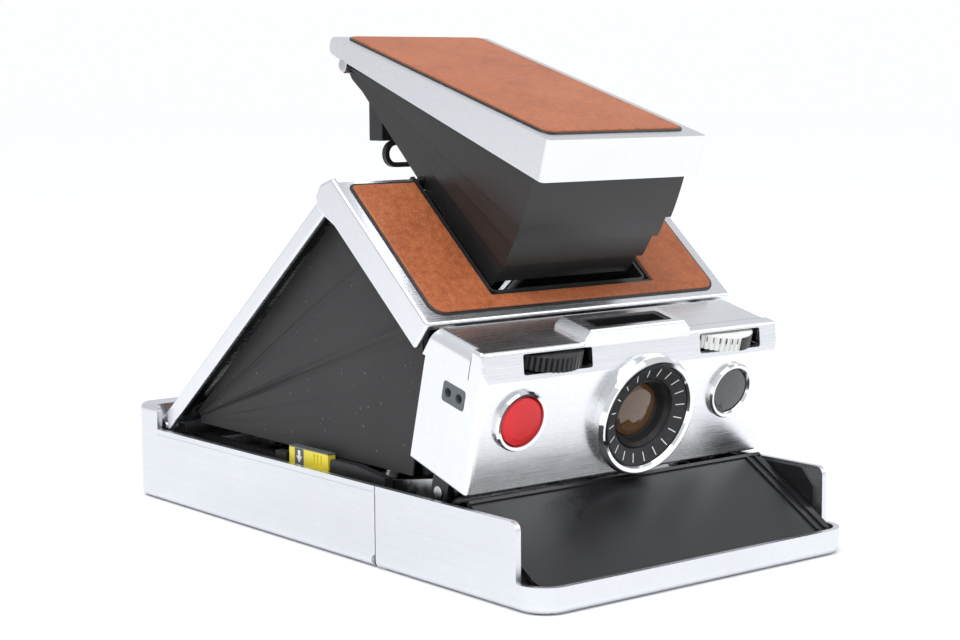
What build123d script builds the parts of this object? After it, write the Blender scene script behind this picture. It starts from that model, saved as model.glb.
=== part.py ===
from build123d import *
import math
import os

# Folding instant camera, millimetres.  X is its width, the lens looks towards -Y, Z is up.
# The origin is the middle of the footprint, on the surface that the camera stands on.

# ---- Base and film door ----
BASE_HALF_WIDTH = 50.5
BASE_HALF_LENGTH = 89.0
FRONT_CORNER = 7.5
REAR_CORNER = 4.5
WALL = 1.5
FLOOR = 1.6
WALL_TOP = 20.1
RIM_TOP = 26.7
RIM_FRONT = 76.5
RIM_WALL_FRONT = 79.7
SPLIT_Y = -27.4
SPLIT_GAP = 0.15
DOOR_LIP_TOP = 6.3
DOOR_WALL_FRONT = -80.4
BOTTOM_EDGE = 2.0
SEAM_LINE = 18.6
INNER_HALF_WIDTH = BASE_HALF_WIDTH - WALL
DOOR_HINGE = (SPLIT_Y, 1.5)
KNUCKLE_RADIUS = 1.45
KNUCKLE_CLEARANCE = 1.7
DOOR_PIN_RADIUS = 0.8
RUNNING = 0.05

# ---- Film chamber ----
CHAMBER_HALF_WIDTH = 41.9
CHAMBER_TOP = 15.6
CHAMBER_PLATE = 1.4
CARRIER_BOTTOM = 17.2
CARRIER_TOP = 18.9
CARRIER_HINGE = (70.5, 18.05)
PICTURE_HALF = 39.5

# ---- Fold pivots, as (y, z) ----
COVER_PIVOT = (76.5, 20.8)
SHUTTER_PIVOT = (-46.7, 21.0)
FRONT_COVER_PIVOT = (-46.6, 56.6)

# ---- Shutter housing: w runs backwards from its face, u up its face ----
LENS_TILT = 14.2
FACE_FOOT = (-59.22, 21.68)
HOUSING_HALF_WIDTH = 47.8
HOUSING_WALL = 1.4
HOUSING_DEPTH = 22.0
FACE_TOP = 27.6
CHAMFER_DEPTH = 2.3
HOUSING_TOP = 34.4
TOP_COVER_FRONT = 5.6
TOP_COVER_FOOT = 27.1
TOP_COVER_HALF_WIDTH = 48.0
BUMP_HALF_WIDTH = 17.0
BUMP_TOP = 37.2
LENS_AT = (2.8, 15.6)
BUTTON_AT = (-35.5, 18.0)
CELL_AT = (32.5, 18.3)
WHEEL_RADIUS = 10.4
WHEEL_W = 8.4
WHEEL_FOOT = 29.4
WHEEL_TOP = 32.8
SHELF_FOOT = 27.3
WHEEL_SHAFT_RADIUS = 1.2
FOCUS_WHEEL_X = -25.3
EXPOSURE_WHEEL_X = 30.9
WINDOW_HALF_WIDTH = 10.5

# ---- Covers ----
FRONT_COVER_TOP = (-11.17, 91.68)
FRONT_INCLINE = 40.33
FRONT_LENGTH = 47.8
FRONT_HALF_WIDTH = 49.5
FRONT_FLANGE = 8.2
SKIN = 1.2
LEATHER = 0.6
REAR_COVER_FOOT = (78.9, 22.3)
REAR_INCLINE = 39.07
REAR_LENGTH = 105.8
REAR_HALF_WIDTH = 48.0
REAR_FLANGE = 4.5

# ---- Viewfinder ----
VIEW_HINGE = (19.8, 120.7)
CAP_REAR_TOP = (24.68, 128.44)
CAP_INCLINE = 16.4
CAP_LENGTH = 91.0
CAP_HALF_WIDTH = 25.4
CAP_FRONT_DEPTH = 10.3
CAP_REAR_DEPTH = 4.65
CAP_WALL = 0.8
SHADE_RADIUS = 80.6
SHADE_HALF_WIDTH = 24.45
SHADE_WALL = 0.7
SHADE_STEP = 0.85
SHADE_BANDS = [(18.2, 28.4), (27.4, 32.8), (31.8, 37.9), (36.9, 42.3)]
LATCH_FACE = 46.4
RAIL_FITTING_SIDE = 43.4
APRON_THICKNESS = 0.9
FRAME_HALF_WIDTH = 25.8
FRAME_OPENING = 24.6
FRAME_FRONT = -39.8
FRAME_FRONT_BAR = 0.9
FRAME_REAR_BAR = 1.3
SHADE_SLOTS = ((21.55, 2.4), (24.1, 0.8))
SHADE_SLOT_WIDTH = 1.1
FRAME_REAR = 1.6
FRAME_DEPTH = 3.4
VIEW_PIN_RADIUS = 1.2
EYEPIECE_HINGE = (21.24, 118.4)
EYEPIECE_TOP = (23.66, 118.64)
EYEPIECE_HALF_WIDTH = 12.0
EYEPIECE_AXLE = 0.8
PIN_RADIUS = 1.5
COVER_PIN_RADIUS = 1.3

# ---- Print rollers ----
ROLLER_Y = -38.0
ROLLER_RADIUS = 3.6
LOWER_ROLLER_Z = 5.8
ROLLER_SPACING = 7.3
ROLLER_TEETH = 15
ROLLER_HALF_LENGTH = 39.6

# ---- Film advance drive ----
GEAR_MODULE = 0.6
COUNTER_AT = (-26, 14)
PINION_TEETH = 12
DRIVE_TEETH = 20
MOTOR_AT = (82.3, 11.2)
GEAR_X = 43.6
GEAR_SHAFT_RADIUS = 1.0


def tilted(at, degrees):
    """Plane seen from +X: local x runs backwards along the incline, local y is its upward normal."""
    angle = math.radians(degrees)
    return Plane(origin=(0, *at), x_dir=(0, math.cos(angle), math.sin(angle)), z_dir=(1, 0, 0))


def lying(at, degrees):
    """Plane of an inclined sheet: local x is the camera's X, local y runs backwards along it."""
    angle = math.radians(degrees)
    return Plane(origin=(0, *at), x_dir=(1, 0, 0), z_dir=(0, -math.sin(angle), math.cos(angle)))


def local_to(plane, at):
    """Local x and y, in a plane seen from +X, of a point given as (y, z)."""
    point = plane.to_local_coords(Vector(0, *at))
    return (point.X, point.Y)


SIDE = Plane.YZ
FACE_ANGLE = math.radians(LENS_TILT)
HOUSING_SIDE = tilted(FACE_FOOT, LENS_TILT)
HOUSING_FACE = Plane(
    origin=(0, *FACE_FOOT),
    x_dir=(1, 0, 0),
    z_dir=(0, -math.cos(FACE_ANGLE), -math.sin(FACE_ANGLE)),
)
FRONT_SIDE = tilted(FRONT_COVER_TOP, FRONT_INCLINE)
FRONT_SHEET = lying(FRONT_COVER_TOP, FRONT_INCLINE)
REAR_SIDE = tilted(REAR_COVER_FOOT, -REAR_INCLINE)
REAR_SHEET = lying(REAR_COVER_FOOT, -REAR_INCLINE)
CAP_SIDE = tilted(CAP_REAR_TOP, CAP_INCLINE)
CAP_SHEET = lying(CAP_REAR_TOP, CAP_INCLINE)


def across_x(x, at, turn):
    """Plane square to X at a (y, z) place, its local x turned by an angle about X."""
    angle = math.radians(turn)
    return Plane(origin=(x, *at), x_dir=(0, math.cos(angle), math.sin(angle)), z_dir=(1, 0, 0))


def gear_outline(teeth, module, phase):
    """Corner points of a gear with straight-sided teeth; phase turns it, in tooth pitches."""
    pitch_radius = teeth * module / 2
    tip = pitch_radius + 0.85 * module
    root = pitch_radius - 1.1 * module
    pitch = 2 * math.pi / teeth
    points = []
    for tooth in range(teeth):
        middle = (tooth + phase) * pitch
        for radius, offset in ((root, -0.28), (tip, -0.11), (tip, 0.11), (root, 0.28)):
            angle = middle + offset * pitch
            points.append((radius * math.cos(angle), radius * math.sin(angle)))
    return points


GEAR_DISTANCE = GEAR_MODULE * (PINION_TEETH + DRIVE_TEETH) / 2
DRIVE_GEAR_AT = (MOTOR_AT[0] - GEAR_DISTANCE, MOTOR_AT[1] - 2.6)
MESH_ANGLE = math.degrees(math.atan2(DRIVE_GEAR_AT[1] - MOTOR_AT[1], DRIVE_GEAR_AT[0] - MOTOR_AT[0]))
MESH_DISTANCE = math.hypot(DRIVE_GEAR_AT[1] - MOTOR_AT[1], DRIVE_GEAR_AT[0] - MOTOR_AT[0])
MESH_MODULE = 2 * MESH_DISTANCE / (PINION_TEETH + DRIVE_TEETH)

os.makedirs("parts", exist_ok=True)


def save(piece, name):
    """Label a finished piece and write it as a STEP file of the same name."""
    piece.part.label = name
    export_step(piece.part, f"parts/{name}.step")


# ================= Base =================

with BuildPart() as base_shell:
    with BuildSketch() as plan:
        with Locations((0, (BASE_HALF_LENGTH + SPLIT_Y + SPLIT_GAP) / 2)):
            Rectangle(2 * BASE_HALF_WIDTH, BASE_HALF_LENGTH - SPLIT_Y - SPLIT_GAP)
        fillet(plan.vertices().group_by(Axis.Y)[-1], REAR_CORNER)
    extrude(amount=WALL_TOP)
    with BuildSketch(Plane.XY.offset(WALL_TOP)) as rim:
        with Locations((0, (BASE_HALF_LENGTH + RIM_FRONT) / 2)):
            Rectangle(2 * BASE_HALF_WIDTH, BASE_HALF_LENGTH - RIM_FRONT)
        fillet(rim.vertices().group_by(Axis.Y)[-1], REAR_CORNER)
    extrude(amount=RIM_TOP - WALL_TOP)
    fillet(base_shell.edges().group_by(Axis.Z)[-1], 1.8)
    bottom_edges = base_shell.edges().group_by(Axis.Z)[0]
    fillet([edge for edge in bottom_edges if edge.center().Y > SPLIT_Y + 1], BOTTOM_EDGE)
    with BuildSketch(Plane.XY.offset(FLOOR)):
        with Locations((0, (RIM_WALL_FRONT + SPLIT_Y - 2) / 2)):
            Rectangle(2 * INNER_HALF_WIDTH, RIM_WALL_FRONT - SPLIT_Y + 2)
    extrude(amount=RIM_TOP, mode=Mode.SUBTRACT)
    with BuildSketch(Plane.XY.offset(FLOOR)) as rear_pocket:
        with Locations((0, 84.3)):
            Rectangle(2 * INNER_HALF_WIDTH, 6.4)
        fillet(rear_pocket.vertices().group_by(Axis.Y)[-1], REAR_CORNER - WALL)
    extrude(amount=23.4, mode=Mode.SUBTRACT)
    with BuildSketch(Plane.XY.offset(FLOOR)):
        with Locations((0, 80.5)):
            Rectangle(2 * INNER_HALF_WIDTH - 6, 4)
    extrude(amount=15.4, mode=Mode.SUBTRACT)
    with BuildSketch(Plane.XY.offset(0.4)):
        with Locations((0, 80)):
            Circle(8)
    extrude(amount=8.6)
    with BuildSketch():
        with Locations((0, 80)):
            Circle(6 + RUNNING)
    extrude(amount=9.2, mode=Mode.SUBTRACT)
    with BuildSketch(SIDE.offset(-60)):
        with Locations(DOOR_HINGE):
            Circle(KNUCKLE_CLEARANCE)
    extrude(amount=120, mode=Mode.SUBTRACT)
    for start in (-30, 14):
        with BuildSketch(SIDE.offset(start)):
            with Locations(DOOR_HINGE):
                Circle(KNUCKLE_RADIUS)
            with Locations((DOOR_HINGE[0] + 1.6, 0.8)):
                Rectangle(3.2, 1.5)
        extrude(amount=16)
    with BuildSketch(SIDE.offset(-60)):
        with Locations(DOOR_HINGE):
            Circle(DOOR_PIN_RADIUS + RUNNING)
    extrude(amount=120, mode=Mode.SUBTRACT)
    for side in (-1, 1):
        with BuildSketch(Plane.XY.offset(SEAM_LINE)):
            with Locations((side * BASE_HALF_WIDTH, (RIM_FRONT + SPLIT_Y) / 2)):
                Rectangle(0.3, RIM_FRONT - SPLIT_Y)
        extrude(amount=0.2, mode=Mode.SUBTRACT)
    with BuildSketch(Plane.XZ.offset(-87.0)):
        with Locations(COUNTER_AT):
            RectangleRounded(9, 6, 1.2)
    extrude(amount=-4, mode=Mode.SUBTRACT)
save(base_shell, "base_shell")

with BuildPart() as tripod_bush:
    with BuildSketch(Plane.XY.offset(0.3)):
        with Locations((0, 80)):
            Circle(6)
    extrude(amount=8.7)
    with BuildSketch(Plane.XY.offset(0.3)):
        with Locations((0, 80)):
            Circle(3.175)
    extrude(amount=7, mode=Mode.SUBTRACT)
    fillet(tripod_bush.edges().filter_by(GeomType.CIRCLE).group_by(Axis.Z)[0].sort_by(SortBy.RADIUS)[-1], 0.4)
save(tripod_bush, "tripod_bush")

with BuildPart() as inner_frame:
    with BuildSketch(Plane.XY.offset(CHAMBER_TOP)):
        with Locations((0, 24.5)):
            Rectangle(97.4, 99)
        with Locations((0, 21.5)):
            Rectangle(2 * PICTURE_HALF, 2 * PICTURE_HALF, mode=Mode.SUBTRACT)
    extrude(amount=CHAMBER_PLATE)
    with BuildSketch(Plane.XY.offset(FLOOR + 0.1)):
        for side in (-1, 1):
            with Locations((side * (CHAMBER_HALF_WIDTH + 0.5), 22)):
                Rectangle(1, 94)
        with Locations((0, 70)):
            Rectangle(2 * CHAMBER_HALF_WIDTH, 1.2)
    extrude(amount=CHAMBER_TOP - FLOOR - 0.1)
    with BuildSketch(SIDE.offset(CHAMBER_HALF_WIDTH + 1)):
        with Locations(DRIVE_GEAR_AT):
            Circle(GEAR_SHAFT_RADIUS)
    extrude(amount=4.4)
save(inner_frame, "inner_frame")

with BuildPart() as side_rails:
    with BuildSketch(Plane.XZ.offset(26)) as rail_section:
        with Locations((46.4, 18)):
            Rectangle(4.6, 1.8)
        fillet(rail_section.vertices().group_by(Axis.Y)[-1], 0.7)
    extrude(amount=-92)
    mirror(about=Plane.YZ)
    with BuildSketch(SIDE.offset(-LATCH_FACE)) as latch_block:
        Polygon((-26, 18.5), (-26, 21.2), (-14, 22.6), (-2.6, 22.6), (-2.6, 18.5), align=None)
        fillet(latch_block.vertices().group_by(Axis.Y)[-1], 0.8)
        with Locations((19.8, 20)):
            Rectangle(5, 3)
    extrude(amount=2.3)
    with BuildSketch(Plane.XY.offset(16)):
        with Locations((-45, 7)):
            Rectangle(3, 18.6)
    extrude(amount=6, mode=Mode.SUBTRACT)
save(side_rails, "side_rails")

with BuildPart() as latch_slider:
    with BuildSketch(SIDE.offset(-LATCH_FACE)) as slider_side:
        with Locations((7, 21.2)):
            Rectangle(17.6, 4.6)
        fillet(slider_side.vertices(), 0.6)
    extrude(amount=2.2)
    with BuildSketch(SIDE.offset(-LATCH_FACE)):
        for step in range(3):
            with Locations((1.2 + 1.6 * step, 21.2)):
                Rectangle(0.7, 3.2)
    extrude(amount=0.35, mode=Mode.SUBTRACT)
save(latch_slider, "latch_slider")

with BuildPart() as cover_hinge_pins:
    with BuildSketch(SIDE.offset(RAIL_FITTING_SIDE)):
        with Locations(COVER_PIVOT):
            Circle(COVER_PIN_RADIUS)
    extrude(amount=4.9)
    with BuildSketch(SIDE.offset(RAIL_FITTING_SIDE)):
        with Locations(COVER_PIVOT):
            Circle(2.4)
        Polygon(
            (67, 17.05), (67, 18.6), (72, 19.2), (74.8, 22.2), (78.2, 22.2), (78.9, 20), (78.9, 17.05),
            align=None,
        )
    extrude(amount=1.6)
    mirror(about=Plane.YZ)
save(cover_hinge_pins, "cover_hinge_pins")

with BuildPart() as door_hinge_pin:
    with BuildSketch(SIDE.offset(-49)):
        with Locations(DOOR_HINGE):
            Circle(DOOR_PIN_RADIUS)
    extrude(amount=98)
save(door_hinge_pin, "door_hinge_pin")

with BuildPart() as support_arms:
    with BuildSketch(SIDE.offset(42.4)):
        with Locations(SHUTTER_PIVOT):
            Circle(3.0)
        Polygon((-46.7, 18), (-30, 17.1), (-12, 17.1), (-12, 18.8), (-27, 20.6), (-46.7, 24), align=None)
        with Locations(SHUTTER_PIVOT):
            Circle(PIN_RADIUS + RUNNING, mode=Mode.SUBTRACT)
    extrude(amount=1.2)
    mirror(about=Plane.YZ)
save(support_arms, "support_arms")

with BuildPart() as battery_contacts:
    for across in (-9, 9):
        with BuildSketch(SIDE.offset(across)):
            Polygon((52, 1.65), (66, 1.65), (66, 1.95), (58, 2.2), (52, 1.95), align=None)
        extrude(amount=3)
save(battery_contacts, "battery_contacts")

with BuildPart() as drive_motor:
    with BuildSketch(SIDE.offset(10)):
        with Locations(MOTOR_AT):
            Circle(3.9)
    extrude(amount=26)
    fillet(drive_motor.edges().filter_by(GeomType.CIRCLE), 0.5)
    with BuildSketch(SIDE.offset(36)):
        with Locations(MOTOR_AT):
            Circle(0.8)
    extrude(amount=8.6)
save(drive_motor, "drive_motor")

def drive_wheel(at, teeth, turn, phase, bore):
    """Gear standing across X at a (y, z) place, its first tooth turned to an angle."""
    with BuildPart() as gear:
        with BuildSketch(across_x(GEAR_X, at, turn)):
            Polygon(*gear_outline(teeth, MESH_MODULE, phase), align=None)
            Circle(bore, mode=Mode.SUBTRACT)
        extrude(amount=2.4)
    return gear


drive_pinion = drive_wheel(MOTOR_AT, PINION_TEETH, MESH_ANGLE, 0, 0.8 + RUNNING)
save(drive_pinion, "drive_pinion")
drive_gear = drive_wheel(DRIVE_GEAR_AT, DRIVE_TEETH, MESH_ANGLE + 180, 0.5, GEAR_SHAFT_RADIUS + RUNNING)
save(drive_gear, "drive_gear")

with BuildPart() as counter_dial:
    with BuildSketch(Plane.XZ.offset(-85.6)):
        with Locations(COUNTER_AT):
            Circle(7)
            Circle(1 + RUNNING, mode=Mode.SUBTRACT)
    extrude(amount=-0.9)
save(counter_dial, "counter_dial")

with BuildPart() as counter_window:
    with BuildSketch(Plane.XZ.offset(-87.6)):
        with Locations(COUNTER_AT):
            RectangleRounded(8.8, 5.8, 1.1)
    extrude(amount=-1.1)
save(counter_window, "counter_window")

with BuildPart() as fresnel_carrier:
    with BuildSketch(Plane.XY.offset(CARRIER_BOTTOM)):
        with Locations((0, 23.5)):
            Rectangle(83, 92)
    extrude(amount=CARRIER_TOP - CARRIER_BOTTOM)
    with BuildSketch(Plane.XY.offset(CARRIER_TOP)):
        with Locations((0, 21.5)):
            Rectangle(78, 82)
    extrude(amount=-0.8, mode=Mode.SUBTRACT)
    with BuildSketch(SIDE.offset(-38)):
        with Locations(CARRIER_HINGE):
            Circle(0.85)
    extrude(amount=76)
save(fresnel_carrier, "fresnel_carrier")

with BuildPart() as fresnel_mirror:
    with BuildSketch(Plane.XY.offset(CARRIER_TOP - 0.78)):
        with Locations((0, 21.5)):
            Rectangle(77.8, 81.8)
    extrude(amount=0.7)
save(fresnel_mirror, "fresnel_mirror")

# ================= Film door =================

with BuildPart() as film_door_shell:
    with BuildSketch() as door_plan:
        with Locations((0, (SPLIT_Y - SPLIT_GAP - BASE_HALF_LENGTH) / 2)):
            Rectangle(2 * BASE_HALF_WIDTH, BASE_HALF_LENGTH + SPLIT_Y - SPLIT_GAP)
        fillet(door_plan.vertices().group_by(Axis.Y)[0], FRONT_CORNER)
    extrude(amount=DOOR_LIP_TOP)
    with BuildSketch(Plane.XY.offset(DOOR_LIP_TOP)):
        with Locations((0, (SPLIT_Y - SPLIT_GAP + DOOR_WALL_FRONT) / 2)):
            Rectangle(2 * BASE_HALF_WIDTH, SPLIT_Y - SPLIT_GAP - DOOR_WALL_FRONT)
    extrude(amount=WALL_TOP - DOOR_LIP_TOP)
    across = film_door_shell.edges().filter_by(Axis.X)
    fillet([edge for edge in across if edge.center().Y < DOOR_WALL_FRONT + 1 and edge.center().Z > 15], 2.2)
    bottom_edges = film_door_shell.edges().group_by(Axis.Z)[0]
    fillet([edge for edge in bottom_edges if edge.center().Y < SPLIT_Y - 1], BOTTOM_EDGE)
    with BuildSketch(Plane.XY.offset(FLOOR)) as door_inside:
        with Locations((0, (SPLIT_Y + 2 - BASE_HALF_LENGTH + WALL) / 2)):
            Rectangle(2 * INNER_HALF_WIDTH, BASE_HALF_LENGTH - WALL + SPLIT_Y + 2)
        fillet(door_inside.vertices().group_by(Axis.Y)[0], FRONT_CORNER - WALL)
    extrude(amount=WALL_TOP, mode=Mode.SUBTRACT)
    for start, length in ((-30.3, 16.6), (13.7, 16.6)):
        with BuildSketch(SIDE.offset(start)):
            with Locations(DOOR_HINGE):
                Circle(KNUCKLE_CLEARANCE)
        extrude(amount=length, mode=Mode.SUBTRACT)
    for start, length in ((-49.4, 19), (-13.5, 27), (30.4, 19)):
        with BuildSketch(SIDE.offset(start)):
            with Locations(DOOR_HINGE):
                Circle(KNUCKLE_RADIUS)
            with Locations((DOOR_HINGE[0] - 1.6, 0.8)):
                Rectangle(3.2, 1.5)
        extrude(amount=length)
    with BuildSketch(SIDE.offset(-49.2)):
        with Locations(DOOR_HINGE):
            Circle(DOOR_PIN_RADIUS + RUNNING)
    extrude(amount=98.4, mode=Mode.SUBTRACT)
save(film_door_shell, "film_door_shell")

with BuildPart() as door_liners:
    with BuildSketch(SIDE.offset(48.2)) as liner:
        Polygon((-29.3, 1.7), (-28.3, 19.3), (-74, 19.3), (-78, 15), (-78, 1.7), align=None)
        fillet(liner.vertices().group_by(Axis.Y)[-1], 1.5)
    extrude(amount=0.75)
    mirror(about=Plane.YZ)
save(door_liners, "door_liners")

with BuildPart() as roller_brackets:
    with BuildSketch(SIDE.offset(40.4)) as bracket:
        with Locations((ROLLER_Y, 9.2)):
            Rectangle(9, 15)
        fillet(bracket.vertices().group_by(Axis.Y)[-1], 2)
        for height in (LOWER_ROLLER_Z, LOWER_ROLLER_Z + ROLLER_SPACING):
            with Locations((ROLLER_Y, height)):
                Circle(1.2 + RUNNING, mode=Mode.SUBTRACT)
    extrude(amount=1.2)
    mirror(about=Plane.YZ)
save(roller_brackets, "roller_brackets")


def print_roller(height, turn, phase):
    """Spreader roller with its end gear and shaft ends, lying along X."""
    with BuildPart() as roller:
        with BuildSketch(SIDE.offset(-ROLLER_HALF_LENGTH)):
            with Locations((ROLLER_Y, height)):
                Circle(ROLLER_RADIUS)
        extrude(amount=2 * ROLLER_HALF_LENGTH - 4)
        with BuildSketch(across_x(ROLLER_HALF_LENGTH - 4, (ROLLER_Y, height), turn)):
            Polygon(*gear_outline(ROLLER_TEETH, ROLLER_SPACING / ROLLER_TEETH, phase), align=None)
        extrude(amount=3.6)
        with BuildSketch(SIDE.offset(-42)):
            with Locations((ROLLER_Y, height)):
                Circle(1.2)
        extrude(amount=84)
    return roller


lower_roller = print_roller(LOWER_ROLLER_Z, 90, 0)
save(lower_roller, "lower_roller")
upper_roller = print_roller(LOWER_ROLLER_Z + ROLLER_SPACING, -90, 0.5)
save(upper_roller, "upper_roller")

APRON_HINGE = (-86.2, 4.0)
APRON_SLOPE = 31.0
APRON_SHEET = lying(APRON_HINGE, APRON_SLOPE)
APRON_LENGTH = 31.4
APRON_HINGE_HALF = 41.0
APRON_HINGE_RADIUS = 0.8
with BuildPart() as apron_panel:
    with BuildSketch(APRON_SHEET) as apron_plan:
        with Locations((0, APRON_LENGTH / 2)):
            Rectangle(95, APRON_LENGTH)
        fillet(apron_plan.vertices().group_by(Axis.Y)[0], 5)
    extrude(amount=APRON_THICKNESS)
    for across in (42.4, 45.2):
        with BuildSketch(APRON_SHEET.offset(APRON_THICKNESS)):
            with Locations((across, APRON_LENGTH / 2 + 0.5)):
                Rectangle(0.9, APRON_LENGTH - 3)
        extrude(amount=0.5)
    with BuildSketch(SIDE.offset(-APRON_HINGE_HALF)):
        with Locations(APRON_HINGE):
            Circle(APRON_HINGE_RADIUS)
    extrude(amount=2 * APRON_HINGE_HALF)
    with BuildSketch(APRON_SHEET.offset(APRON_THICKNESS)):
        with Locations((0, APRON_LENGTH - 0.5)):
            Rectangle(95, 1.0)
    extrude(amount=0.4)
save(apron_panel, "apron_panel")

# ================= Shutter housing =================

with BuildPart() as shutter_front:
    with BuildSketch(HOUSING_SIDE.offset(-HOUSING_HALF_WIDTH)):
        Polygon(
            (0, 0),
            (0, FACE_TOP),
            (CHAMFER_DEPTH, HOUSING_TOP),
            (TOP_COVER_FRONT - 0.1, HOUSING_TOP),
            (TOP_COVER_FRONT - 0.1, TOP_COVER_FOOT - 0.1),
            (HOUSING_DEPTH, TOP_COVER_FOOT - 0.1),
            (HOUSING_DEPTH, 1.25),
            align=None,
        )
    extrude(amount=2 * HOUSING_HALF_WIDTH)
    top_line = shutter_front.edges().filter_by(Axis.X).filter_by(
        lambda e: abs(HOUSING_SIDE.to_local_coords(e.center()).X - CHAMFER_DEPTH) < 0.1
    )
    fillet(top_line, 1.2)
    uprights = shutter_front.edges().filter_by(lambda e: abs(e.tangent_at(0.5).X) < 0.01)
    face_edges = uprights.filter_by(lambda e: abs(HOUSING_SIDE.to_local_coords(e.center()).X) < 0.05)
    fillet(face_edges, 1.6)
    front_line = shutter_front.edges().filter_by(Axis.X)
    fillet(front_line.filter_by(lambda e: abs(HOUSING_SIDE.to_local_coords(e.center()).X) < 0.05), 0.8)
    with BuildSketch(HOUSING_SIDE.offset(-HOUSING_HALF_WIDTH + HOUSING_WALL)):
        Polygon(
            (HOUSING_WALL, HOUSING_WALL),
            (HOUSING_WALL, FACE_TOP - 0.3),
            (CHAMFER_DEPTH + HOUSING_WALL - 0.3, HOUSING_TOP - HOUSING_WALL),
            (TOP_COVER_FRONT + 1, HOUSING_TOP - HOUSING_WALL),
            (TOP_COVER_FRONT + 1, TOP_COVER_FOOT + 1),
            (HOUSING_DEPTH + 1, TOP_COVER_FOOT + 1),
            (HOUSING_DEPTH + 1, -1),
            (6.5, -1),
            (6.5, HOUSING_WALL),
            align=None,
        )
    extrude(amount=2 * (HOUSING_HALF_WIDTH - HOUSING_WALL), mode=Mode.SUBTRACT)
    with BuildSketch(HOUSING_SIDE.offset(-BUMP_HALF_WIDTH)):
        Polygon(
            (CHAMFER_DEPTH - 0.4, HOUSING_TOP - 1),
            (CHAMFER_DEPTH + 0.5, BUMP_TOP),
            (13.4, BUMP_TOP),
            (13.4, HOUSING_TOP),
            (TOP_COVER_FRONT - 0.1, HOUSING_TOP),
            (TOP_COVER_FRONT - 0.1, HOUSING_TOP - 1),
            align=None,
        )
    extrude(amount=2 * BUMP_HALF_WIDTH)
    bump_ends = shutter_front.edges().filter_by(
        lambda e: abs(abs(e.center().X) - BUMP_HALF_WIDTH) < 0.05
        and HOUSING_SIDE.to_local_coords(e.center()).Y > BUMP_TOP - 0.3
    )
    chamfer(bump_ends, 2.0)
    bump_edges = shutter_front.edges().filter_by(lambda e: HOUSING_SIDE.to_local_coords(e.center()).Y > BUMP_TOP - 0.1)
    fillet(bump_edges, 0.8)
    with BuildSketch(HOUSING_FACE.offset(5)):
        with Locations(LENS_AT):
            Circle(13.4)
        with Locations(BUTTON_AT):
            Circle(6.5)
        with Locations(CELL_AT):
            Circle(6.3)
        for across in (FOCUS_WHEEL_X, EXPOSURE_WHEEL_X):
            with Locations((across, 31.1)):
                RectangleRounded(2 * WINDOW_HALF_WIDTH, 4.6, 0.6)
    extrude(amount=-10.4, mode=Mode.SUBTRACT)
    with BuildSketch(Plane(HOUSING_SIDE.from_local_coords(Vector(7.4, 0, 0)), x_dir=(1, 0, 0),
                           z_dir=HOUSING_SIDE.y_dir).offset(32)):
        RectangleRounded(25, 6.4, 0.8)
    extrude(amount=10, mode=Mode.SUBTRACT)
    with BuildSketch(HOUSING_SIDE.offset(-HOUSING_HALF_WIDTH - 1)):
        with Locations((9.75, 21.6)):
            RectangleRounded(8.4, 5.0, 0.9)
    extrude(amount=4, mode=Mode.SUBTRACT)
save(shutter_front, "shutter_front")

SLOPE_FOOT = 22.9
SLOPE_HEAD = 19.8
with BuildPart() as shutter_top:
    with BuildSketch(HOUSING_SIDE.offset(-TOP_COVER_HALF_WIDTH)):
        Polygon(
            (TOP_COVER_FRONT, TOP_COVER_FOOT),
            (TOP_COVER_FRONT, HOUSING_TOP),
            (SLOPE_HEAD, HOUSING_TOP),
            (SLOPE_FOOT, TOP_COVER_FOOT),
            align=None,
        )
    extrude(amount=2 * TOP_COVER_HALF_WIDTH)
    corner_edges = shutter_top.edges().filter_by(
        lambda e: abs(e.tangent_at(0.5).X) < 0.01 and HOUSING_SIDE.to_local_coords(e.center()).Y > 34
    )
    fillet(corner_edges, 3.0)
    with BuildSketch(HOUSING_SIDE.offset(-TOP_COVER_HALF_WIDTH + 1.3)):
        Polygon(
            (TOP_COVER_FRONT - 1, TOP_COVER_FOOT - 1),
            (TOP_COVER_FRONT - 1, HOUSING_TOP - 1.2),
            (SLOPE_HEAD - 1.2, HOUSING_TOP - 1.2),
            (SLOPE_FOOT - 1.0, TOP_COVER_FOOT - 1),
            align=None,
        )
    extrude(amount=2 * TOP_COVER_HALF_WIDTH - 2.6, mode=Mode.SUBTRACT)
    for start in (39.3, -44.4):
        with BuildSketch(HOUSING_SIDE.offset(start)):
            with Locations((21.5, 28.8)):
                Rectangle(7, 8.4)
        extrude(amount=5.1, mode=Mode.SUBTRACT)
    with BuildSketch(HOUSING_SIDE.offset(-BUMP_HALF_WIDTH - 0.1)):
        with Locations((9.2, 36)):
            Rectangle(8.6, 6)
    extrude(amount=2 * BUMP_HALF_WIDTH + 0.2, mode=Mode.SUBTRACT)
save(shutter_top, "shutter_top")

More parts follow.
